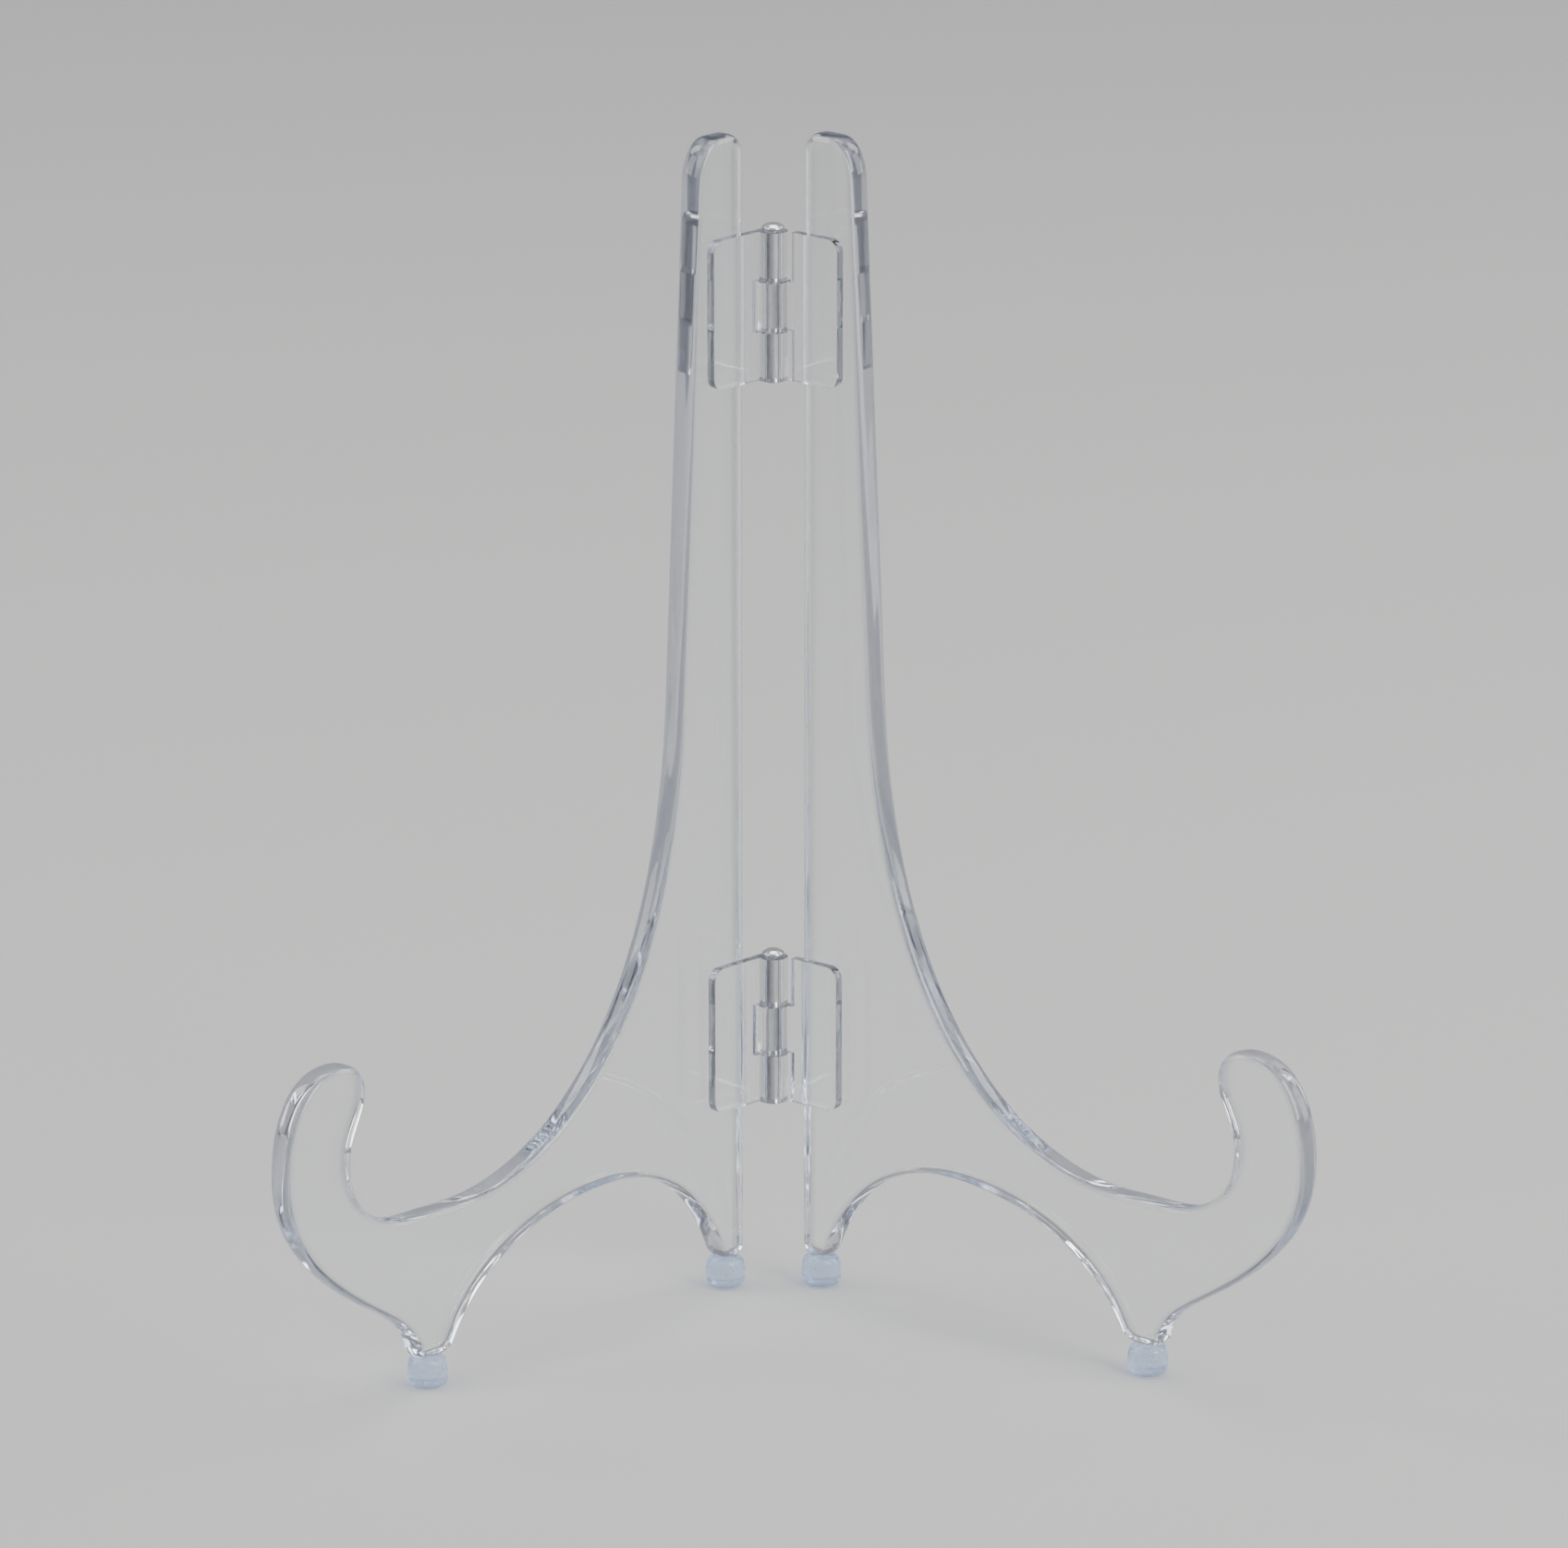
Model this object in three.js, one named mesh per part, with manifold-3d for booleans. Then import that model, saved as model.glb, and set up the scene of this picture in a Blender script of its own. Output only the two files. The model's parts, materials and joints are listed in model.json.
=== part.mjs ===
// Folding plate display stand in clear acrylic sheet.
// Two flat wings stand on edge and open like a book about two butt hinges at the back. Each wing has a
// hook at the front that holds the plate's rim, an arch between its two feet, and a tall back-rest.
// Millimetres, +Z up, the hooks point to -Y, and the origin is at the middle of the footprint.
import * as THREE from "three";
import { mergeVertices } from "three/addons/utils/BufferGeometryUtils.js";
import Module from "manifold-3d";

const wasm = await Module();
wasm.setup();

// Driving dimensions of the assembly.
const HALF_OPENING = THREE.MathUtils.degToRad(46); // each wing's angle from the front-to-back centre plane
const HINGE_Y = 34.45; // the hinge axis, behind the middle of the footprint
const GAP = 0.3; // cement film or running gap between touching pieces

// The wing, drawn in its own plane: u runs forward from the hinge axis, z runs up from the table.
const SHEET = 4.5; // sheet thickness
const INNER_FACE = 2.7; // from the hinge axis to the wing's inner face
const EDGE_BEVEL = 0.7; // polished edge
const FOOT_HEIGHT = 4.7;
const LEG_BASE = FOOT_HEIGHT + GAP;
const REAR_EDGE = 3.5; // u of the wing's rear edge
const WING_HEIGHT = 190;
const REAR_TOE = 5; // width of the rear leg at its foot
const ARCH = { crownU: 34, crownZ: 24 };
const FRONT_LEG = { rearU: 70.5, frontU: 77.5 };
const BELLY = { u: 87, z: 15.6 }; // where the front edge swells out of the front leg
const HOOK = { frontU: 106.2, waistZ: 41, topU: 94.5, topZ: 57.2, noseU: 88.6, noseZ: 52, rearU: 92 };
const SEAT = { frontU: 78.5, rearU: 69, z: 29.2 }; // the flat that the plate's rim rests on
const BACK_REST = { baseU: 18, baseZ: 100, topU: 14, topZ: 183 };
const TOP_CORNER = 3; // radius at the top of the rear edge
const CURVE_STEPS = 11;

// The hinges, drawn about the hinge axis.
const HINGE_HEIGHT = 24;
const HINGE_BASES = { lower: 31, upper: 150 };
const LEAF = { thickness: 1.5, startU: 3, endU: 12.5, corner: 2 };
const KNUCKLE_RADIUS = INNER_FACE - GAP;
const KNUCKLE_LENGTH = (HINGE_HEIGHT - 2 * GAP) / 3;
const PIN = { radius: 1, clearance: 0.1, tail: 0.6, headRadius: 1.8, headHeight: 0.9 };
const ROUND_SIDES = 32;

const FOOT = { radius: 3.2, soleRadius: 2.1, topRadius: 2.9, topEdge: 0.4 };

const acrylic = new THREE.MeshStandardMaterial({
  color: 0xe4ecee,
  roughness: 0.06,
  metalness: 0,
  transparent: true,
  opacity: 0.35,
});
const steel = new THREE.MeshStandardMaterial({ color: 0xb9bcbf, roughness: 0.3, metalness: 1 });
const vinyl = new THREE.MeshStandardMaterial({
  color: 0xd5dde2,
  roughness: 0.25,
  metalness: 0,
  transparent: true,
  opacity: 0.6,
});

// A closed three.js geometry as a solid, and back.
function solidOf(geometry) {
  const bare = new THREE.BufferGeometry().setAttribute("position", geometry.getAttribute("position"));
  if (geometry.index) bare.setIndex(geometry.index);
  const merged = mergeVertices(bare, 1e-4);
  const triVerts = new Uint32Array(merged.index.array);
  const vertProperties = merged.attributes.position.array;
  return new wasm.Manifold(new wasm.Mesh({ numProp: 3, vertProperties, triVerts }));
}

function geometryOf(solid) {
  const { vertProperties, triVerts } = solid.getMesh();
  const geometry = new THREE.BufferGeometry();
  geometry.setAttribute("position", new THREE.BufferAttribute(vertProperties, 3));
  geometry.setIndex(new THREE.BufferAttribute(triVerts, 1));
  geometry.computeVertexNormals();
  return geometry;
}

function addMesh(group, name, geometry, material) {
  const mesh = new THREE.Mesh(geometry, material.clone());
  mesh.name = name;
  group.add(mesh);
}

// Stands a shape drawn in (u, z) on edge, with its thickness from `near` to `near + thickness` along +Y.
function standingSheet(shape, near, thickness, bevel) {
  const geometry = new THREE.ExtrudeGeometry(shape, {
    depth: thickness - 2 * bevel,
    curveSegments: CURVE_STEPS,
    bevelEnabled: bevel > 0,
    bevelThickness: bevel,
    bevelSize: bevel,
    bevelOffset: -bevel,
    bevelSegments: 1,
  });
  return geometry.rotateX(Math.PI / 2).translate(0, near + thickness - bevel, 0);
}

function wingShape() {
  const toe = REAR_EDGE + REAR_TOE;
  const s = new THREE.Shape();
  s.moveTo(REAR_EDGE, LEG_BASE);
  s.lineTo(toe, LEG_BASE);
  // arch between the legs
  s.bezierCurveTo(toe + 3, LEG_BASE + 10, ARCH.crownU - 14, ARCH.crownZ, ARCH.crownU, ARCH.crownZ);
  s.bezierCurveTo(
    ARCH.crownU + 17, ARCH.crownZ, FRONT_LEG.rearU - 5, LEG_BASE + 11.5, FRONT_LEG.rearU, LEG_BASE);
  s.lineTo(FRONT_LEG.frontU, LEG_BASE);
  // front edge: out of the leg, round the belly and up to the hook's top
  s.bezierCurveTo(FRONT_LEG.frontU, LEG_BASE + 5, BELLY.u - 5.5, BELLY.z - 3.4, BELLY.u, BELLY.z);
  s.bezierCurveTo(
    BELLY.u + 10, BELLY.z + 6.2, HOOK.frontU, HOOK.waistZ - 12, HOOK.frontU, HOOK.waistZ);
  s.bezierCurveTo(
    HOOK.frontU, HOOK.waistZ + 9.5, HOOK.topU + 7.5, HOOK.topZ, HOOK.topU, HOOK.topZ);
  // the hook's nose, its waist and the groove down to the seat
  s.bezierCurveTo(HOOK.topU - 3.6, HOOK.topZ, HOOK.noseU, HOOK.topZ - 1.7, HOOK.noseU, HOOK.noseZ);
  s.bezierCurveTo(
    HOOK.noseU, HOOK.noseZ - 4, HOOK.rearU, HOOK.waistZ + 4.5, HOOK.rearU, HOOK.waistZ);
  s.bezierCurveTo(HOOK.rearU, HOOK.waistZ - 7, HOOK.rearU - 5, SEAT.z, SEAT.frontU, SEAT.z);
  s.lineTo(SEAT.rearU, SEAT.z);
  // sweep up to the back-rest
  s.bezierCurveTo(
    SEAT.rearU - 23, SEAT.z, BACK_REST.baseU + 2.5, SEAT.z + 20, BACK_REST.baseU, BACK_REST.baseZ);
  s.lineTo(BACK_REST.topU, BACK_REST.topZ);
  s.bezierCurveTo(
    BACK_REST.topU - 0.2, BACK_REST.topZ + 4.5, BACK_REST.topU - 2.5, WING_HEIGHT,
    BACK_REST.topU - 5, WING_HEIGHT);
  s.lineTo(REAR_EDGE + TOP_CORNER, WING_HEIGHT);
  s.absarc(
    REAR_EDGE + TOP_CORNER, WING_HEIGHT - TOP_CORNER, TOP_CORNER, Math.PI / 2, Math.PI, false);
  s.closePath();
  return s;
}

// A cylinder about the hinge axis, from `low` to `high`.
function axisCylinder(radius, low, high) {
  const geometry = new THREE.CylinderGeometry(radius, radius, high - low, ROUND_SIDES);
  return geometry.rotateX(Math.PI / 2).translate(0, 0, (low + high) / 2);
}

// A hinge leaf: a rounded plate, with a tab and a knuckle at each of `knuckles`, bored for the pin.
function leafGeometry(knuckles) {
  const { thickness, startU, endU, corner } = LEAF;
  const near = KNUCKLE_RADIUS - thickness;
  const plate = new THREE.Shape();
  plate.moveTo(startU, 0);
  plate.lineTo(endU - corner, 0);
  plate.absarc(endU - corner, corner, corner, -Math.PI / 2, 0, false);
  plate.lineTo(endU, HINGE_HEIGHT - corner);
  plate.absarc(endU - corner, HINGE_HEIGHT - corner, corner, 0, Math.PI / 2, false);
  plate.lineTo(startU, HINGE_HEIGHT);
  plate.closePath();
  let leaf = solidOf(standingSheet(plate, near, thickness, 0));
  for (const [low, high] of knuckles) {
    const tab = new THREE.BoxGeometry(startU + 0.5, thickness, high - low);
    tab.translate((startU + 0.5) / 2, near + thickness / 2, (low + high) / 2);
    leaf = leaf.add(solidOf(tab)).add(solidOf(axisCylinder(KNUCKLE_RADIUS, low, high)));
  }
  const bore = axisCylinder(PIN.radius + PIN.clearance, -1, HINGE_HEIGHT + 1);
  return geometryOf(leaf.subtract(solidOf(bore)));
}

// Turns a profile of (radius, height) points about the vertical axis.
function turned(profile) {
  const points = profile.map(([radius, height]) => new THREE.Vector2(radius, height));
  return new THREE.LatheGeometry(points, ROUND_SIDES).rotateX(Math.PI / 2);
}

function pinGeometry() {
  const { radius, tail, headRadius, headHeight } = PIN;
  const head = HINGE_HEIGHT + GAP;
  return turned([
    [0, -tail],
    [radius - 0.3, -tail],
    [radius, -tail + 0.3],
    [radius, head],
    [headRadius, head],
    [headRadius, head + headHeight / 2],
    [headRadius * 0.6, head + headHeight],
    [0, head + headHeight],
  ]);
}

// A domed bumper: a flat sole, a quarter-round shoulder and a slightly smaller top.
function footGeometry() {
  const { radius, soleRadius, topRadius, topEdge } = FOOT;
  const shoulder = new THREE.EllipseCurve(
    soleRadius, radius - soleRadius, radius - soleRadius, radius - soleRadius, -Math.PI / 2, 0);
  const profile = [[0, 0]];
  for (const p of shoulder.getPoints(6)) profile.push([p.x, p.y]);
  profile.push([radius, FOOT_HEIGHT - topEdge], [topRadius, FOOT_HEIGHT], [0, FOOT_HEIGHT]);
  return turned(profile);
}

const knuckleAt = (i) => [i * (KNUCKLE_LENGTH + GAP), i * (KNUCKLE_LENGTH + GAP) + KNUCKLE_LENGTH];
const KNUCKLES = { left: [knuckleAt(0), knuckleAt(2)], right: [knuckleAt(1)] };
const FEET = {
  front: (FRONT_LEG.rearU + FRONT_LEG.frontU) / 2,
  rear: REAR_EDGE + REAR_TOE / 2,
};

// One half of the stand, drawn as the right one about the hinge axis and mirrored for the left.
function makeHalf(side) {
  const turn = new THREE.Group();
  turn.rotation.z = HALF_OPENING - Math.PI / 2;
  addMesh(turn, side + "_wing", standingSheet(wingShape(), INNER_FACE, SHEET, EDGE_BEVEL), acrylic);
  for (const [end, u] of Object.entries(FEET)) {
    const foot = footGeometry().translate(u, INNER_FACE + SHEET / 2, 0);
    addMesh(turn, end + "_" + side + "_foot", foot, vinyl);
  }
  for (const [level, z] of Object.entries(HINGE_BASES)) {
    const leaf = leafGeometry(KNUCKLES[side]).translate(0, 0, z);
    addMesh(turn, level + "_hinge_" + side + "_leaf", leaf, acrylic);
  }
  const half = new THREE.Group();
  half.scale.x = side === "left" ? -1 : 1;
  half.add(turn);
  return half;
}

const stand = new THREE.Group();
stand.position.y = HINGE_Y;
for (const side of ["left", "right"]) stand.add(makeHalf(side));
for (const [level, z] of Object.entries(HINGE_BASES)) {
  addMesh(stand, level + "_hinge_pin", pinGeometry().translate(0, 0, z), steel);
}

const group = new THREE.Group();
group.add(stand);
export default group;
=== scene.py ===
"""Looks of a folding plate display stand in clear acrylic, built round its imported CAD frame.

Everything is in metres in the CAD frame: +Z up, the hooks towards -Y. Sizes are given in millimetres and
turned into metres by MM. A wing and its hinge leaves are drawn about the hinge axis, in (u, w, z): u runs
forward along the wing, w across its thickness from the inner face outwards, and z up.
"""
import json
import math

import bmesh
import bpy
from mathutils import Matrix, Vector, noise


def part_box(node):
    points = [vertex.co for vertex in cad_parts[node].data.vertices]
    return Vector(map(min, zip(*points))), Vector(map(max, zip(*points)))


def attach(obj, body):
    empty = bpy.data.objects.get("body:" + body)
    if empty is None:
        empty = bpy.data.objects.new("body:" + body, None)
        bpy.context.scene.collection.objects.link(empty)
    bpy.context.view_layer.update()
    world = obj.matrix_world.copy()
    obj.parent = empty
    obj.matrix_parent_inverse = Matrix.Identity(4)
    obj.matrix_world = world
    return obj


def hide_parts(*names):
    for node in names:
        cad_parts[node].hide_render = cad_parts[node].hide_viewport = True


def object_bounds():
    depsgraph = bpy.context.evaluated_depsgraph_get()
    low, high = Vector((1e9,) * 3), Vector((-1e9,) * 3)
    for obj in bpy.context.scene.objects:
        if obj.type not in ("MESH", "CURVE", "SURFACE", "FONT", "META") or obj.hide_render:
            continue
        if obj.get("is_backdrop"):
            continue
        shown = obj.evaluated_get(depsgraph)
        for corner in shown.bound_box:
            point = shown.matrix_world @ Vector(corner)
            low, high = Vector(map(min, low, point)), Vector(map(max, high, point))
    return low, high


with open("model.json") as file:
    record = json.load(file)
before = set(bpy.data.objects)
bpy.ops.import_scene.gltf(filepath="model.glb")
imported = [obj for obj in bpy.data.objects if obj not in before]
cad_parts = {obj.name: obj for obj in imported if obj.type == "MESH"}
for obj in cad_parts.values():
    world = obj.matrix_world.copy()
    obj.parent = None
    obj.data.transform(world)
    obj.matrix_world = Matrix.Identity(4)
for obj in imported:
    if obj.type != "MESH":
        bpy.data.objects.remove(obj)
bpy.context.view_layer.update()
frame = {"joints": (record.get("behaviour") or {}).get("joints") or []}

MM = 0.001
fold = frame["joints"][0]
HINGE_Y = fold["pos_m"][1]
HALF_OPENING = math.radians(-fold["range_deg"][0] / 2)  # folding the wings parallel uses up both halves

# The wing's outline in its own plane, in millimetres.
INNER_FACE = 2.7
SHEET = 4.5
LEG_BASE = 5.0
REAR_EDGE = 3.5
REAR_TOE = 5.0
WING_HEIGHT = 190.0
ARCH = (34.0, 24.0)
FRONT_LEG = (70.5, 77.5)
BELLY = (87.0, 15.6)
HOOK_FRONT, HOOK_WAIST_Z, HOOK_REAR = 106.2, 41.0, 92.0
HOOK_TOP = (94.5, 57.2)
HOOK_NOSE = (88.6, 52.0)
SEAT = (69.0, 78.5)
SEAT_Z = 29.2
REST_BASE = (18.0, 100.0)
REST_TOP = (14.0, 183.0)
TOP_CORNER = 3.0

# How the real edges are finished, in millimetres.
EDGE_DEPTH = 1.3  # how far in from its rim flame polishing has rounded the sheet
CROWN_SQUARENESS = 2.6  # the power of the superellipse across the edge: 2 is round, more is flatter
CROWN_RINGS = 9
FLAT_MARGIN = 0.3  # a narrow ring inside the crown keeps the face beside it flat
CORNER_REACH = 2.1  # rounding of the outline's sharp corners
CORNER_TURN = math.radians(20)  # the outline turns more than this at a sharp corner
TURN_PROBE = 3  # points on each side that show the outline's direction at a corner
OUTLINE_STEP = 0.55
CORNER_STEP = OUTLINE_STEP / 4
WAVE_DEPTH = 0.07
WAVE_LENGTH = 9.0
WAVE_OFFSET = 40.0  # each wing takes its waves from its own place in the noise

# Hinge and foot sizes, in millimetres.
KNUCKLE_RADIUS = 2.4
HINGE_HEIGHT = 24.0
RUNNING_GAP = 0.3
KNUCKLE_LENGTH = (HINGE_HEIGHT - 2 * RUNNING_GAP) / 3
LEAF_THICKNESS, LEAF_START, LEAF_END, LEAF_CORNER = 1.5, 3.0, 12.5, 2.0
LEAF_EDGE = 0.28
LEAF_CORNER_STEPS = 16
TAB_OVERLAP = 0.5  # the tabs reach this far into the plate
BORE_RADIUS = 1.1
BORE_MARGIN = 1.0  # the bore is cut this far past both ends
PIN_RADIUS, PIN_HEAD_RADIUS, PIN_TAIL, PIN_HEAD = 1.0, 1.8, 0.6, 0.9
PIN_ROUNDING = 0.25
FOOT_RADIUS = 3.18
FOOT_HEIGHT = 4.7
SOLE_INSET, SOLE_RISE = 0.75, 0.9
DOME_INSET, DOME_RISE = 0.35, 1.4
FOOT_ROUNDING = 0.9
FOOT_ROUNDING_STEPS = 8
SIDE_SHARE = 0.45  # a rounded corner takes at most this share of a side, so that two fit on it
ROUND_STEPS = 96


def placed(side, u, w, z):
    """A point of the half on that side, -1 left or 1 right, from its (u, w, z) in millimetres."""
    x = side * (u * math.sin(HALF_OPENING) + w * math.cos(HALF_OPENING))
    y = -u * math.cos(HALF_OPENING) + w * math.sin(HALF_OPENING)
    return Vector((x * MM, y * MM + HINGE_Y, z * MM))


# ---------------------------------------------------------------- outlines


def bezier(p0, p1, p2, p3, steps=160):
    """Points of a cubic curve, without its first point."""
    a, b, c, d = (Vector(p) for p in (p0, p1, p2, p3))
    points = []
    for i in range(1, steps + 1):
        t = i / steps
        s = 1 - t
        points.append(s**3 * a + 3 * s * s * t * b + 3 * s * t * t * c + t**3 * d)
    return points


def arc(centre, radius, start, end, steps=40):
    """Points of an arc from angle start to end, in degrees."""
    points = []
    for i in range(steps + 1):
        angle = math.radians(start + (end - start) * i / steps)
        points.append(Vector((centre[0] + radius * math.cos(angle), centre[1] + radius * math.sin(angle))))
    return points


def wing_outline():
    """The wing's outline, anticlockwise: legs and arch, front edge, hook, seat, back-rest."""
    toe = REAR_EDGE + REAR_TOE
    leg_rear, leg_front = FRONT_LEG
    arch_u, arch_z = ARCH
    belly_u, belly_z = BELLY
    hook_top_u, hook_top_z = HOOK_TOP
    nose_u, nose_z = HOOK_NOSE
    waist_front, waist_rear = (HOOK_FRONT, HOOK_WAIST_Z), (HOOK_REAR, HOOK_WAIST_Z)
    seat_rear, seat_front = SEAT
    rest_u = REST_BASE[0]
    top_u, top_z = REST_TOP
    curves = [
        [(toe, LEG_BASE), (toe + 3, LEG_BASE + 10), (arch_u - 14, arch_z), ARCH],
        [ARCH, (arch_u + 17, arch_z), (leg_rear - 5, LEG_BASE + 11.5), (leg_rear, LEG_BASE)],
        None,
        [(leg_front, LEG_BASE), (leg_front, LEG_BASE + 5), (belly_u - 5.5, belly_z - 3.4), BELLY],
        [BELLY, (belly_u + 10, belly_z + 6.2), (HOOK_FRONT, HOOK_WAIST_Z - 12), waist_front],
        [waist_front, (HOOK_FRONT, HOOK_WAIST_Z + 9.5), (hook_top_u + 7.5, hook_top_z), HOOK_TOP],
        [HOOK_TOP, (hook_top_u - 3.6, hook_top_z), (nose_u, hook_top_z - 1.7), HOOK_NOSE],
        [HOOK_NOSE, (nose_u, nose_z - 4), (HOOK_REAR, HOOK_WAIST_Z + 4.5), waist_rear],
        [waist_rear, (HOOK_REAR, HOOK_WAIST_Z - 7), (HOOK_REAR - 5, SEAT_Z), (seat_front, SEAT_Z)],
        None,
        [(seat_rear, SEAT_Z), (seat_rear - 23, SEAT_Z), (rest_u + 2.5, SEAT_Z + 20), REST_BASE],
        None,
        [REST_TOP, (top_u - 0.2, top_z + 4.5), (top_u - 2.5, WING_HEIGHT), (top_u - 5, WING_HEIGHT)],
    ]
    points = [Vector((REAR_EDGE, LEG_BASE)), Vector((toe, LEG_BASE))]
    for curve in curves:
        if curve is None:  # a straight stretch needs no points of its own
            continue
        if Vector(curve[0]) != points[-1]:
            points.append(Vector(curve[0]))
        points += bezier(*curve)
    return points + arc((REAR_EDGE + TOP_CORNER, WING_HEIGHT - TOP_CORNER), TOP_CORNER, 90, 180)


def leaf_outline():
    """A hinge leaf's plate, anticlockwise: square by the knuckles, with rounded outer corners."""
    inset = LEAF_END - LEAF_CORNER
    points = [Vector((LEAF_START, 0))]
    points += arc((inset, LEAF_CORNER), LEAF_CORNER, -90, 0, LEAF_CORNER_STEPS)
    points += arc((inset, HINGE_HEIGHT - LEAF_CORNER), LEAF_CORNER, 0, 90, LEAF_CORNER_STEPS)
    return points + [Vector((LEAF_START, HINGE_HEIGHT))]


def rounded_corners(points):
    """The closed outline, with each sharp corner replaced by a curve that reaches CORNER_REACH each way."""
    spread = evenly_spaced(points, CORNER_STEP)
    count = len(spread)
    reach = round(CORNER_REACH / CORNER_STEP)
    corners = []
    for corner in points:
        near = min(range(count), key=lambda i: (spread[i] - corner).length_squared)
        before = (spread[near] - spread[near - TURN_PROBE]).normalized()
        after = (spread[(near + TURN_PROBE) % count] - spread[near]).normalized()
        if before.angle(after) > CORNER_TURN and all(abs(near - c) > reach for c in corners):
            corners.append(near)
    for corner in corners:
        start, apex, end = (spread[(corner + offset) % count].copy() for offset in (-reach, 0, reach))
        for offset in range(-reach, reach + 1):
            t = (offset + reach) / (2 * reach)
            curved = (1 - t) ** 2 * start + 2 * t * (1 - t) * apex + t * t * end
            spread[(corner + offset) % count] = curved
    return spread


def evenly_spaced(points, step):
    """The closed outline resampled at an even spacing close to step."""
    closed = points + [points[0]]
    lengths = [0.0]
    for a, b in zip(closed, closed[1:]):
        lengths.append(lengths[-1] + (b - a).length)
    count = round(lengths[-1] / step)
    spread, k = [], 0
    for i in range(count):
        target = lengths[-1] * i / count
        while lengths[k + 1] <= target:
            k += 1
        share = (target - lengths[k]) / (lengths[k + 1] - lengths[k])
        spread.append(closed[k].lerp(closed[k + 1], share))
    return spread


# ---------------------------------------------------------------- meshes


def new_object(name, bm):
    """A smooth-shaded object in the scene, made from bm, with its faces turned out."""
    bmesh.ops.recalc_face_normals(bm, faces=bm.faces)
    mesh = bpy.data.meshes.new(name)
    bm.to_mesh(mesh)
    bm.free()
    for polygon in mesh.polygons:
        polygon.use_smooth = True
    obj = bpy.data.objects.new(name, mesh)
    bpy.context.scene.collection.objects.link(obj)
    return obj


def edge_rings():
    """(inset, w, polish) of each ring of a wing's surface, from the inner face round the crowned edge."""
    half = SHEET / 2
    middle = INNER_FACE + half
    rings = [(EDGE_DEPTH + FLAT_MARGIN, INNER_FACE, 0.0)]
    for i in range(CROWN_RINGS + 1):
        angle = math.pi / 2 * i / CROWN_RINGS
        rise = math.sin(angle) ** (2 / CROWN_SQUARENESS)
        spread = math.cos(angle) ** (2 / CROWN_SQUARENESS) if i < CROWN_RINGS else 0.0
        rings.append((EDGE_DEPTH * (1 - rise), INNER_FACE + half * (1 - spread), rise))
    return rings + [(inset, 2 * middle - w, polish) for inset, w, polish in reversed(rings[:-1])]


def make_wing(name, side):
    """A wing of flat sheet, whose edges are rounded and faintly waved as flame polishing leaves them."""
    outline = evenly_spaced(rounded_corners(wing_outline()), OUTLINE_STEP)
    count = len(outline)
    bm = bmesh.new()
    polish_layer = bm.verts.layers.float.new("edge_polish")
    rings = []
    for inset, w, polish in edge_rings():
        ring = []
        for i, point in enumerate(outline):
            along = (outline[(i + 1) % count] - outline[i - 1]).normalized()
            inward = Vector((-along.y, along.x))
            spot = Vector((point.x, point.y, side * WAVE_OFFSET)) / WAVE_LENGTH
            wave = WAVE_DEPTH * polish * (0.5 + 0.5 * noise.noise(spot))
            u, z = point + inward * (inset + wave)
            vert = bm.verts.new(placed(side, u, w, z))
            vert[polish_layer] = polish
            ring.append(vert)
        rings.append(ring)
    for lower, upper in zip(rings, rings[1:]):
        for i in range(count):
            j = (i + 1) % count
            bm.faces.new((lower[i], lower[j], upper[j], upper[i]))
    bm.faces.new(rings[0])
    bm.faces.new(rings[-1])
    return new_object(name, bm)


def turned_mesh(bm, profile, centre):
    """Turns a profile of (radius, z) points about the vertical line through centre, closed at both ends."""
    rings = []
    for radius, z in profile[1:-1]:
        ring = []
        for i in range(ROUND_STEPS):
            angle = 2 * math.pi * i / ROUND_STEPS
            offset = Vector((radius * math.cos(angle), radius * math.sin(angle), z)) * MM
            ring.append(bm.verts.new(centre + offset))
        rings.append(ring)
    for lower, upper in zip(rings, rings[1:]):
        for i in range(ROUND_STEPS):
            j = (i + 1) % ROUND_STEPS
            bm.faces.new((lower[i], lower[j], upper[j], upper[i]))
    for ring, (_, z) in ((rings[0], profile[0]), (rings[-1], profile[-1])):
        tip = bm.verts.new(centre + Vector((0, 0, z * MM)))
        for i in range(ROUND_STEPS):
            bm.faces.new((ring[i], ring[(i + 1) % ROUND_STEPS], tip))


def rounded_profile(corners, radius, steps=5):
    """A profile of (radius, z) corners with each inner corner rounded; its ends, on the axis, stay."""
    points = [corners[0]]
    for before, corner, after in zip(corners, corners[1:], corners[2:]):
        before, corner, after = Vector(before), Vector(corner), Vector(after)
        reach = min(radius, (corner - before).length * SIDE_SHARE, (after - corner).length * SIDE_SHARE)
        start = corner + (before - corner).normalized() * reach
        end = corner + (after - corner).normalized() * reach
        for i in range(steps + 1):
            t = i / steps
            points.append(tuple((1 - t) ** 2 * start + 2 * t * (1 - t) * corner + t * t * end))
    return points + [corners[-1]]


def make_pin(name, base):
    """A drawn steel pin with a low domed head."""
    head = HINGE_HEIGHT + RUNNING_GAP
    top = head + PIN_HEAD
    corners = [
        (0, -PIN_TAIL),
        (PIN_RADIUS, -PIN_TAIL),
        (PIN_RADIUS, head),
        (PIN_HEAD_RADIUS, head),
        (PIN_HEAD_RADIUS, head + PIN_HEAD * 0.45),
        (PIN_HEAD_RADIUS * 0.6, top),
        (0, top),
    ]
    bm = bmesh.new()
    turned_mesh(bm, rounded_profile(corners, PIN_ROUNDING), Vector((0, HINGE_Y, base)))
    return new_object(name, bm)


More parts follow.
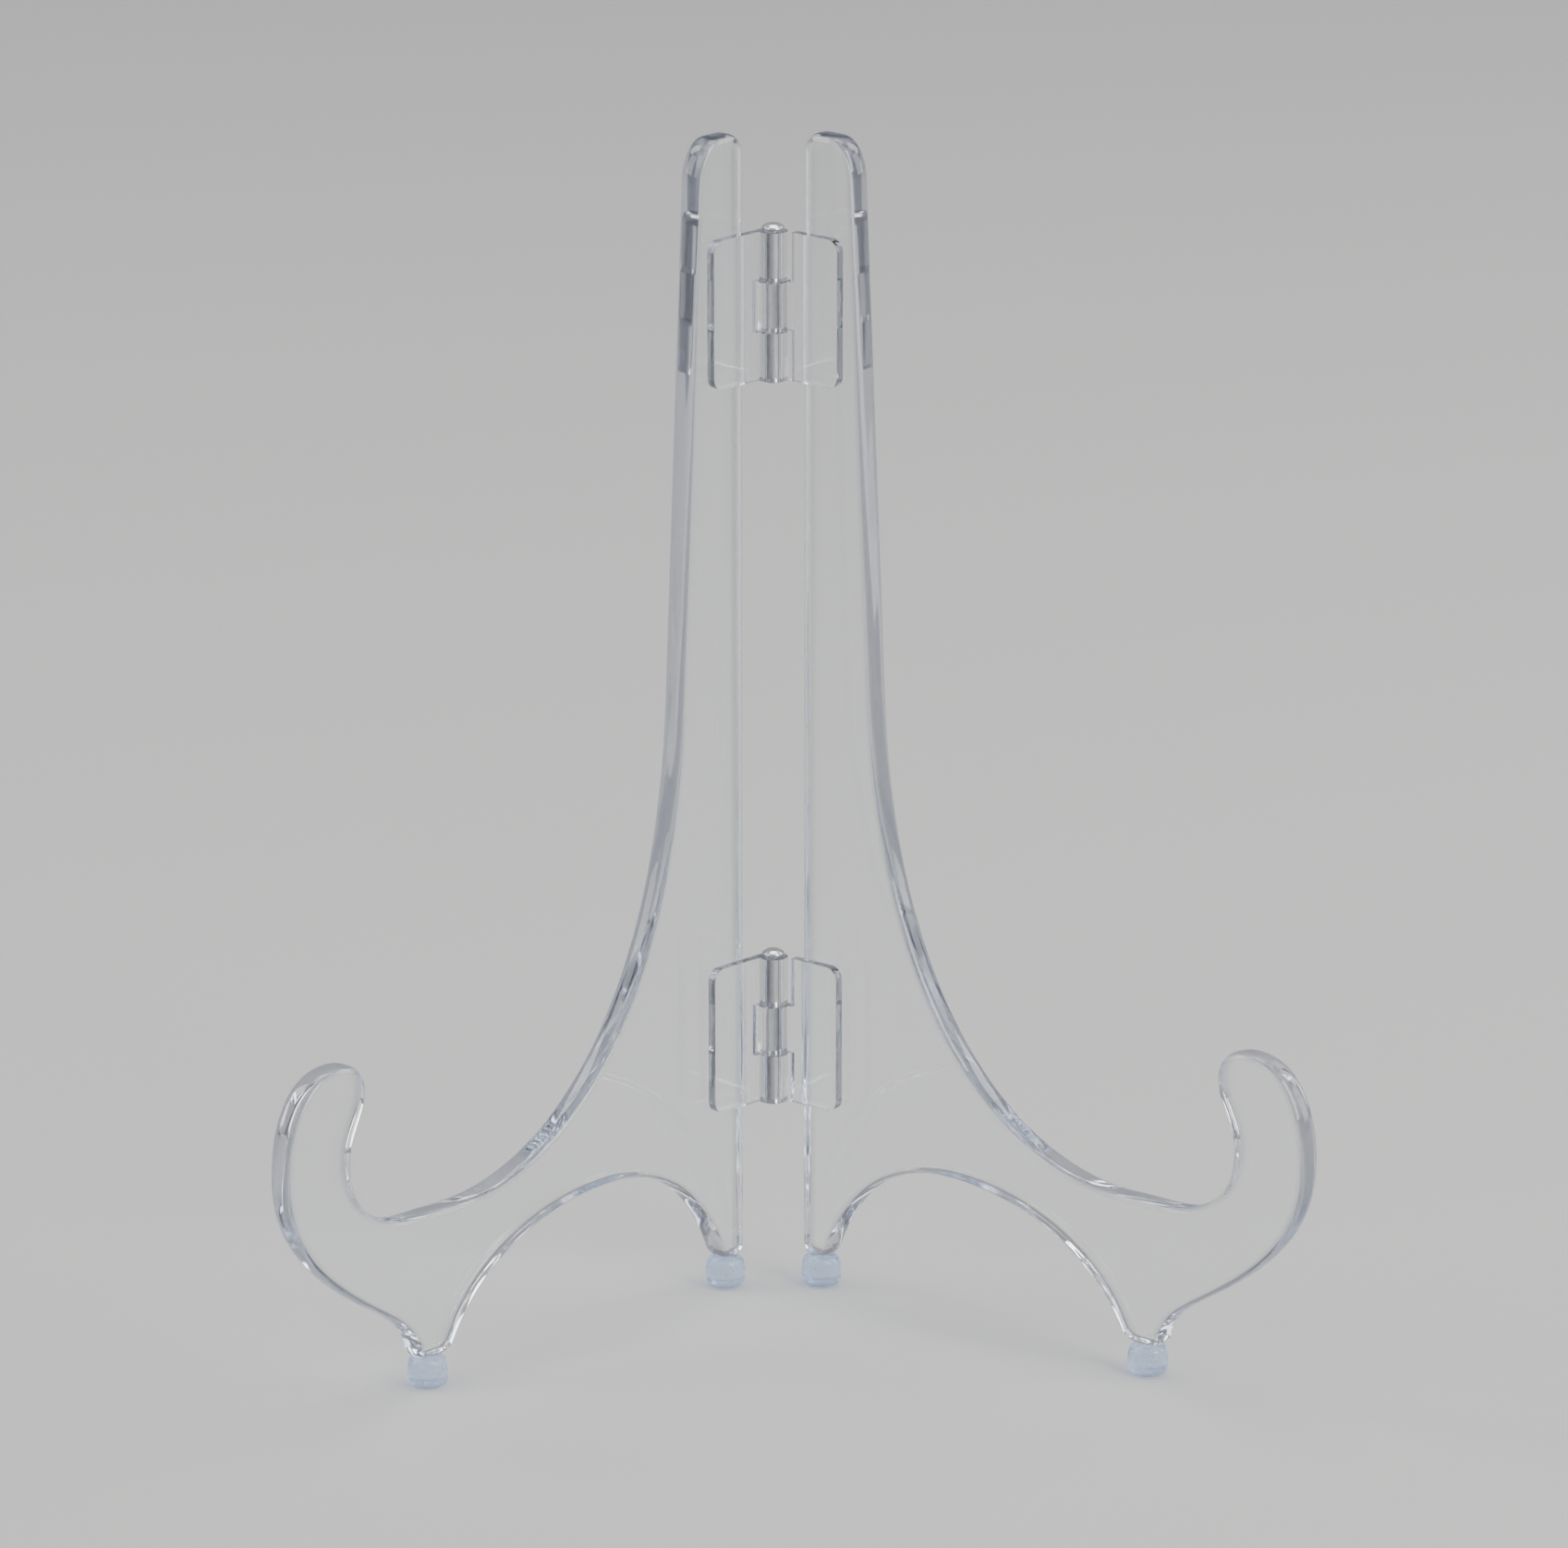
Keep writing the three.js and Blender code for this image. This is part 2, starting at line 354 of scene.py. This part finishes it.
def make_foot(name, low, high):
    """A soft domed bumper, over the box that its CAD solid fills."""
    corners = [
        (0, 0),
        (FOOT_RADIUS - SOLE_INSET, 0),
        (FOOT_RADIUS, SOLE_RISE),
        (FOOT_RADIUS, FOOT_HEIGHT - DOME_RISE),
        (FOOT_RADIUS - DOME_INSET, FOOT_HEIGHT),
        (0, FOOT_HEIGHT),
    ]
    profile = rounded_profile(corners, FOOT_ROUNDING, FOOT_ROUNDING_STEPS)
    bm = bmesh.new()
    turned_mesh(bm, profile, Vector(((low.x + high.x) / 2, (low.y + high.y) / 2, 0)))
    return new_object(name, bm)


def closed_prism(outline, w_low, w_high):
    """A standing plate in (u, w, z), as a closed mesh in millimetres."""
    bm = bmesh.new()
    near = [bm.verts.new((p.x, w_low, p.y)) for p in outline]
    far = [bm.verts.new((p.x, w_high, p.y)) for p in outline]
    for i in range(len(outline)):
        j = (i + 1) % len(outline)
        bm.faces.new((near[i], near[j], far[j], far[i]))
    bm.faces.new(near)
    bm.faces.new(far)
    return new_object("plate", bm)


def axis_cylinder(radius, low, high):
    """A cylinder about the hinge axis, as a closed mesh in millimetres."""
    bm = bmesh.new()
    bmesh.ops.create_cone(
        bm, cap_ends=True, segments=ROUND_STEPS, radius1=radius, radius2=radius, depth=high - low,
        matrix=Matrix.Translation((0, 0, (low + high) / 2)))
    return new_object("cylinder", bm)


def tab_box(low, high, w_low, w_high):
    """The tongue that joins a knuckle to its leaf's plate, as a closed mesh in millimetres."""
    end = LEAF_START + TAB_OVERLAP
    corners = [Vector(p) for p in ((0, low), (end, low), (end, high), (0, high))]
    return closed_prism(corners, w_low, w_high)


def combine(base, others, operation):
    """Joins others to base, or cuts them from it, and removes them."""
    for other in others:
        modifier = base.modifiers.new("combine", "BOOLEAN")
        modifier.operation = operation
        modifier.solver = "EXACT"
        modifier.object = other
    baked_modifiers(base)
    for other in others:
        bpy.data.objects.remove(other)


def baked_modifiers(obj):
    """Replaces the object's mesh by what its modifiers make of it."""
    graph = bpy.context.evaluated_depsgraph_get()
    mesh = bpy.data.meshes.new_from_object(obj.evaluated_get(graph))
    obj.modifiers.clear()
    obj.data = mesh


def knuckle_span(index):
    """The lowest and highest z of a knuckle above the hinge's base."""
    low = index * (KNUCKLE_LENGTH + RUNNING_GAP)
    return low, low + KNUCKLE_LENGTH


def make_leaf(name, side, base, knuckles):
    """A moulded hinge leaf: plate, tabs and bored knuckles in one, with softened edges."""
    w_low, w_high = KNUCKLE_RADIUS - LEAF_THICKNESS, KNUCKLE_RADIUS
    leaf = closed_prism(leaf_outline(), w_low, w_high)
    spans = [knuckle_span(i) for i in knuckles]
    combine(leaf, [tab_box(low, high, w_low, w_high) for low, high in spans], "UNION")
    combine(leaf, [axis_cylinder(KNUCKLE_RADIUS, low, high) for low, high in spans], "UNION")
    combine(leaf, [axis_cylinder(BORE_RADIUS, -BORE_MARGIN, HINGE_HEIGHT + BORE_MARGIN)], "DIFFERENCE")
    tidy_flats(leaf)
    for vertex in leaf.data.vertices:
        u, w, z = vertex.co
        vertex.co = placed(side, u, w, z + base / MM)
    if side < 0:
        leaf.data.flip_normals()
    bevel = leaf.modifiers.new("softened edges", "BEVEL")
    bevel.width = LEAF_EDGE * MM
    bevel.segments = 3
    bevel.limit_method = "ANGLE"
    bevel.angle_limit = math.radians(35)
    normals = leaf.modifiers.new("even faces", "WEIGHTED_NORMAL")
    normals.keep_sharp = False
    baked_modifiers(leaf)
    outward = placed(side, 0, 1, 0) - placed(side, 0, 0, 0)
    polish = leaf.data.attributes.new("edge_polish", "FLOAT", "POINT")
    for vertex, value in zip(leaf.data.vertices, polish.data):
        value.value = 1 - abs(vertex.normal.dot(outward.normalized()))
    leaf.name = name
    return leaf


def tidy_flats(obj):
    """Merges the coplanar faces that the joins leave, so that only real edges are softened."""
    bm = bmesh.new()
    bm.from_mesh(obj.data)
    bmesh.ops.remove_doubles(bm, verts=bm.verts, dist=1e-4)
    bmesh.ops.dissolve_limit(
        bm, angle_limit=math.radians(1), verts=bm.verts, edges=bm.edges, use_dissolve_boundaries=False)
    bm.to_mesh(obj.data)
    bm.free()
    for polygon in obj.data.polygons:
        polygon.use_smooth = True


# ---------------------------------------------------------------- materials

# Clear acrylic: its faces, and its edges, which are painted greyer and lilac: a painted shade and tint that
# stands in for the darker, deeper-tinted look that light bent through the rounded edges gives them.
FACE_COLOUR, PAINTED_EDGE_SHADE = (0.985, 0.987, 0.994), (0.43, 0.44, 0.495)
FACE_SHADE, EDGE_SHADE = (0.92, 0.925, 0.935), (0.5, 0.51, 0.55)
ACRYLIC_TINT, ACRYLIC_DENSITY, ACRYLIC_IOR = (0.62, 0.72, 0.86, 1), 11.0, 1.49
POLISH_ROUGHNESS = 0.012
SCRATCH_ROUGHNESS, SCRATCH_DEPTH = 0.16, 0.000012
SHEET_RIPPLE, MOULDED_RIPPLE = (55, 0.00012), (240, 0.00005)  # cells a metre, and depth in metres

# Soft clear vinyl, with dust pressed into it.
VINYL_COLOUR, DUST_COLOUR = (0.80, 0.86, 0.95), (0.55, 0.57, 0.6)
VINYL_SHADE = (0.55, 0.6, 0.67, 1)
VINYL_TINT, VINYL_DENSITY, VINYL_IOR = (0.42, 0.62, 0.88, 1), 90.0, 1.5

# Drawn steel and the paper floor, each between two shades.
STEEL_COLOURS = (0.60, 0.60, 0.61), (0.72, 0.72, 0.73)
PAPER_COLOURS = (0.39, 0.39, 0.38), (0.435, 0.435, 0.425)


class Nodes:
    """A material's node tree, with short calls for adding nodes and joining sockets."""

    def __init__(self, material):
        material.use_nodes = True
        self.tree = material.node_tree
        self.tree.nodes.clear()
        self.position = self.add("ShaderNodeTexCoord").outputs["Object"]

    def add(self, kind, inputs=None, **settings):
        node = self.tree.nodes.new(kind)
        for name, value in settings.items():
            setattr(node, name, value)
        for name, value in (inputs or {}).items():
            if isinstance(value, bpy.types.NodeSocket):
                self.tree.links.new(value, node.inputs[name])
            else:
                node.inputs[name].default_value = value
        return node

    def noise(self, scale, detail=3.0, roughness=0.5, stretch=(1, 1, 1), turn=(0, 0, 0)):
        """Noise from 0 to 1 with scale cells a metre, turned and stretched by the given factors."""
        moved = self.add("ShaderNodeMapping", {"Vector": self.position, "Rotation": turn, "Scale": stretch})
        texture = self.add(
            "ShaderNodeTexNoise",
            {"Vector": moved.outputs[0], "Scale": scale, "Detail": detail, "Roughness": roughness})
        return texture.outputs["Fac"]

    def math(self, operation, a, b=0.0):
        return self.add("ShaderNodeMath", {0: a, 1: b}, operation=operation).outputs[0]

    def remap(self, value, span, to=(0, 1)):
        """value's range, span, spread smoothly over the range to."""
        inputs = {"Value": value, "From Min": span[0], "From Max": span[1], "To Min": to[0], "To Max": to[1]}
        return self.add("ShaderNodeMapRange", inputs, interpolation_type="SMOOTHSTEP").outputs[0]

    def blend(self, factor, a, b):
        """A colour between a and b."""
        inputs = {0: factor, 6: (*a, 1), 7: (*b, 1)}
        return self.add("ShaderNodeMix", inputs, data_type="RGBA").outputs[2]

    def bump(self, height, distance, strength=1.0, normal=None):
        inputs = {"Height": height, "Distance": distance, "Strength": strength}
        if normal is not None:
            inputs["Normal"] = normal
        return self.add("ShaderNodeBump", inputs).outputs[0]

    def hairlines(self, turn, threshold):
        """Sparse hairline scratches along one direction: 1 on a scratch and 0 off it."""
        streaks = self.noise(420, detail=2.0, stretch=(1, 1, 0.03), turn=turn)
        patches = self.noise(45, detail=1.0)
        lines = self.remap(streaks, span=(threshold, threshold + 0.03))
        return self.math("MULTIPLY", lines, self.remap(patches, span=(0.45, 0.6)))

    def clear_output(self, surface, shade):
        """Ends a clear material: lamps reach through it, tinted by shade, and all else sees the surface."""
        open_to_lamps = self.add("ShaderNodeBsdfTransparent", {"Color": shade})
        path = self.add("ShaderNodeLightPath")
        mix = self.add(
            "ShaderNodeMixShader",
            {0: path.outputs["Is Shadow Ray"], 1: surface, 2: open_to_lamps.outputs[0]})
        return self.add("ShaderNodeOutputMaterial", {"Surface": mix.outputs[0]})


def acrylic_material(name, ripple):
    """Clear acrylic: faint ripple, handling haze, sparse hairlines, and a cool tint that grows with depth."""
    ripple_cells, ripple_depth = ripple
    material = bpy.data.materials.new(name)
    n = Nodes(material)
    edge = n.add("ShaderNodeAttribute", attribute_name="edge_polish").outputs["Fac"]
    scratches = n.math(
        "ADD",
        n.hairlines(turn=(0.3, 0.2, 0.5), threshold=0.66),
        n.hairlines(turn=(1.2, 0.1, 2.1), threshold=0.67))
    haze = n.remap(n.noise(70, detail=4.0, roughness=0.6), span=(0.45, 0.75), to=(0.0, 0.05))
    wear = n.remap(n.noise(130, detail=4.0, roughness=0.65), span=(0.5, 0.68), to=(0.0, 0.07))
    marks = n.math("ADD", n.math("MULTIPLY", scratches, SCRATCH_ROUGHNESS), n.math("MULTIPLY", edge, wear))
    roughness = n.math("ADD", n.math("ADD", haze, POLISH_ROUGHNESS), marks)
    rippled = n.bump(n.noise(ripple_cells, detail=2.0, roughness=0.4), ripple_depth)
    surface = n.add(
        "ShaderNodeBsdfPrincipled",
        {
            # painted shade: the base colour turns greyer and lilac towards the rounded edges of the sheet and
            # of the leaves
            "Base Color": n.blend(edge, FACE_COLOUR, PAINTED_EDGE_SHADE),
            "Roughness": roughness,
            "IOR": ACRYLIC_IOR,
            "Transmission Weight": 1.0,
            "Normal": n.bump(scratches, SCRATCH_DEPTH, 0.6, rippled),
        })
    output = n.clear_output(surface.outputs[0], n.blend(edge, FACE_SHADE, EDGE_SHADE))
    tint = n.add("ShaderNodeVolumeAbsorption", {"Color": ACRYLIC_TINT, "Density": ACRYLIC_DENSITY})
    n.tree.links.new(tint.outputs[0], output.inputs["Volume"])
    return material


def bumper_material():
    """Soft clear vinyl: frosted by handling, with specks of dust pressed into it."""
    material = bpy.data.materials.new("clear vinyl")
    n = Nodes(material)
    haze = n.remap(n.noise(260, detail=5.0, roughness=0.65), span=(0.35, 0.7), to=(0.12, 0.34))
    dust = n.remap(n.noise(2600, detail=1.0), span=(0.68, 0.74))
    surface = n.add(
        "ShaderNodeBsdfPrincipled",
        {
            "Base Color": n.blend(dust, VINYL_COLOUR, DUST_COLOUR),
            "Roughness": n.math("MAXIMUM", haze, n.math("MULTIPLY", dust, 0.7)),
            "IOR": VINYL_IOR,
            "Transmission Weight": 0.88,
            "Normal": n.bump(n.noise(420), 0.00004, 0.7),
        })
    output = n.clear_output(surface.outputs[0], VINYL_SHADE)
    tint = n.add("ShaderNodeVolumeAbsorption", {"Color": VINYL_TINT, "Density": VINYL_DENSITY})
    n.tree.links.new(tint.outputs[0], output.inputs["Volume"])
    return material


def steel_material():
    """Drawn stainless wire: fine lines along the pin, and dull patches from handling."""
    material = bpy.data.materials.new("drawn steel")
    n = Nodes(material)
    lines = n.noise(9000, detail=2.0, stretch=(1, 1, 0.012))
    dulled = n.remap(n.noise(300), span=(0.35, 0.7), to=(0.1, 0.2))
    surface = n.add(
        "ShaderNodeBsdfPrincipled",
        {
            "Base Color": n.blend(n.remap(lines, span=(0.3, 0.7)), *STEEL_COLOURS),
            "Metallic": 1.0,
            "Roughness": n.math("ADD", dulled, n.math("MULTIPLY", lines, 0.08)),
            "Normal": n.bump(lines, 0.000004, 0.6),
        })
    n.add("ShaderNodeOutputMaterial", {"Surface": surface.outputs[0]})
    return material


def floor_material():
    """Seamless pale grey paper."""
    material = bpy.data.materials.new("pale paper")
    n = Nodes(material)
    grain = n.noise(900, detail=4.0, roughness=0.6)
    surface = n.add(
        "ShaderNodeBsdfPrincipled",
        {
            "Base Color": n.blend(grain, *PAPER_COLOURS),
            "Roughness": n.remap(grain, span=(0.2, 0.8), to=(0.6, 0.75)),
            "Normal": n.bump(grain, 0.00005, 0.4),
        })
    n.add("ShaderNodeOutputMaterial", {"Surface": surface.outputs[0]})
    return material


# ---------------------------------------------------------------- studio

SIGHT_AZIMUTH = math.radians(-2.9)  # the stand is seen from a little to the left of square on
SIGHT_ELEVATION = math.radians(15.8)  # and from a little above
SIGHT_DISTANCE = 1.73
FRAME_FILL = 0.84  # the share of the picture's height that the stand takes up
FRAME_ASPECT = 1697 / 1675
SENSOR = 36.0
LIGHT_TURNS = 24
FLOOR_REACH = 6  # from its middle to its sides

# The pale room: its light from the front and back, its light from the sides, and the horizon's share of both.
ROOM_COLOUR = (0.96, 0.965, 1.0, 1)
ROOM_STRENGTH, SIDE_STRENGTH = 0.6, 0.47
HORIZON_SHARE = 0.75

# Each softbox's place, its width and height, and its watts. All of them face the stand.
LIGHT_AIM = (0, 0, 0.08)
SOFTBOXES = {
    "key": ((1.05, -0.95, 1.0), (0.8, 1.4), 34),
    "fill": ((-1.35, -0.8, 0.8), (0.7, 1.3), 8),
    "top": ((0.1, 0.3, 1.7), (1.0, 0.8), 12),
    "rear_left": ((-1.15, 0.5, 1.2), (0.5, 0.7), 8),
    "rear_right": ((1.2, 0.58, 1.1), (0.5, 0.7), 8),
    "left": ((-1.5, 0.05, 0.6), (0.5, 0.8), 5.5),
    "right": ((1.5, 0.12, 0.55), (0.5, 0.8), 5.5),
}


def make_camera():
    """The camera at the stand's viewing angle, with the whole stand in the picture."""
    low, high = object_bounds()
    middle = (low + high) / 2
    back = Vector((
        math.sin(SIGHT_AZIMUTH) * math.cos(SIGHT_ELEVATION),
        -math.cos(SIGHT_AZIMUTH) * math.cos(SIGHT_ELEVATION),
        math.sin(SIGHT_ELEVATION)))
    size = high - low
    seen_height = size.z * math.cos(SIGHT_ELEVATION) + size.y * math.sin(SIGHT_ELEVATION)
    seen_width = seen_height / FRAME_FILL * FRAME_ASPECT
    data = bpy.data.cameras.new("camera")
    data.sensor_width = SENSOR
    data.lens = SENSOR * SIGHT_DISTANCE / seen_width
    data.clip_start = 0.05
    data.clip_end = 50
    camera = bpy.data.objects.new("camera", data)
    bpy.context.scene.collection.objects.link(camera)
    camera.location = middle + back * SIGHT_DISTANCE
    camera.rotation_euler = (-back).to_track_quat("-Z", "Y").to_euler()
    bpy.context.scene.camera = camera


def add_softbox(name, location, size, watts):
    """A rectangular area lamp that faces LIGHT_AIM."""
    data = bpy.data.lights.new(name, "AREA")
    data.shape = "RECTANGLE"
    data.size, data.size_y = size
    data.energy = watts
    lamp = bpy.data.objects.new(name, data)
    bpy.context.scene.collection.objects.link(lamp)
    lamp.location = location
    lamp.rotation_euler = (Vector(location) - Vector(LIGHT_AIM)).to_track_quat("Z", "Y").to_euler()


def make_world():
    """A pale room that darkens to both sides, so that clear edges read as grey lines."""
    world = bpy.data.worlds.new("studio")
    bpy.context.scene.world = world
    world.use_nodes = True
    tree = world.node_tree
    tree.nodes.clear()
    direction = tree.nodes.new("ShaderNodeTexCoord").outputs["Generated"]
    parts = tree.nodes.new("ShaderNodeSeparateXYZ")
    tree.links.new(direction, parts.inputs[0])

    def ranged(value, span, to):
        node = tree.nodes.new("ShaderNodeMapRange")
        node.interpolation_type = "SMOOTHSTEP"
        tree.links.new(value, node.inputs["Value"])
        for name, number in zip(("From Min", "From Max", "To Min", "To Max"), (*span, *to)):
            node.inputs[name].default_value = number
        return node.outputs[0]

    sideways = tree.nodes.new("ShaderNodeMath")
    sideways.operation = "ABSOLUTE"
    tree.links.new(parts.outputs["X"], sideways.inputs[0])
    strength = tree.nodes.new("ShaderNodeMath")
    strength.operation = "MULTIPLY"
    around = ranged(sideways.outputs[0], (0.35, 0.8), (ROOM_STRENGTH, SIDE_STRENGTH))
    upward = ranged(parts.outputs["Z"], (0.0, 0.9), (HORIZON_SHARE, 1.0))
    tree.links.new(around, strength.inputs[0])
    tree.links.new(upward, strength.inputs[1])
    background = tree.nodes.new("ShaderNodeBackground")
    background.inputs["Color"].default_value = ROOM_COLOUR
    tree.links.new(strength.outputs[0], background.inputs["Strength"])
    output = tree.nodes.new("ShaderNodeOutputWorld")
    tree.links.new(background.outputs[0], output.inputs["Surface"])


def make_floor():
    bm = bmesh.new()
    bmesh.ops.create_grid(bm, x_segments=8, y_segments=8, size=FLOOR_REACH)
    floor = new_object("floor", bm)
    floor.data.materials.append(floor_material())
    floor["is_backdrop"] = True


def set_light_paths():
    """Lets light turn round inside the clear pieces until it finds its way out."""
    cycles = bpy.context.scene.cycles
    cycles.max_bounces = LIGHT_TURNS
    cycles.transmission_bounces = LIGHT_TURNS
    cycles.glossy_bounces = LIGHT_TURNS
    cycles.transparent_max_bounces = LIGHT_TURNS


def light_studio():
    for name, (location, size, watts) in SOFTBOXES.items():
        add_softbox(name, location, size, watts)


# ---------------------------------------------------------------- the stand

SIDES = {"left": -1, "right": 1}
KNUCKLES = {"left": (0, 2), "right": (1,)}


def dress(piece, node, body, material):
    """Gives a piece its finish and its body, in place of the CAD node that it stands for."""
    piece.data.materials.clear()
    piece.data.materials.append(material)
    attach(piece, body)
    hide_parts(node)


def make_stand():
    sheet = acrylic_material("polished acrylic sheet", SHEET_RIPPLE)
    moulded = acrylic_material("moulded acrylic", MOULDED_RIPPLE)
    vinyl = bumper_material()
    steel = steel_material()
    for side, sign in SIDES.items():
        body = side + "_half"
        dress(make_wing(side + "_wing_sheet", sign), side + "_wing", body, sheet)
        for end in ("front", "rear"):
            node = f"{end}_{side}_foot"
            dress(make_foot(f"{end}_{side}_bumper", *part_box(node)), node, body, vinyl)
        for level in ("lower", "upper"):
            node = f"{level}_hinge_{side}_leaf"
            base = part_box(node)[0].z  # both leaves' plates start at the hinge's base
            leaf = make_leaf(f"{level}_hinge_{side}_plate", sign, base, KNUCKLES[side])
            dress(leaf, node, body, moulded)
    for level in ("lower", "upper"):
        node = level + "_hinge_pin"
        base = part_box(node)[0].z + PIN_TAIL * MM
        dress(make_pin(level + "_hinge_rod", base), node, "left_half", steel)


make_stand()
make_floor()
make_world()
light_studio()
set_light_paths()
make_camera()
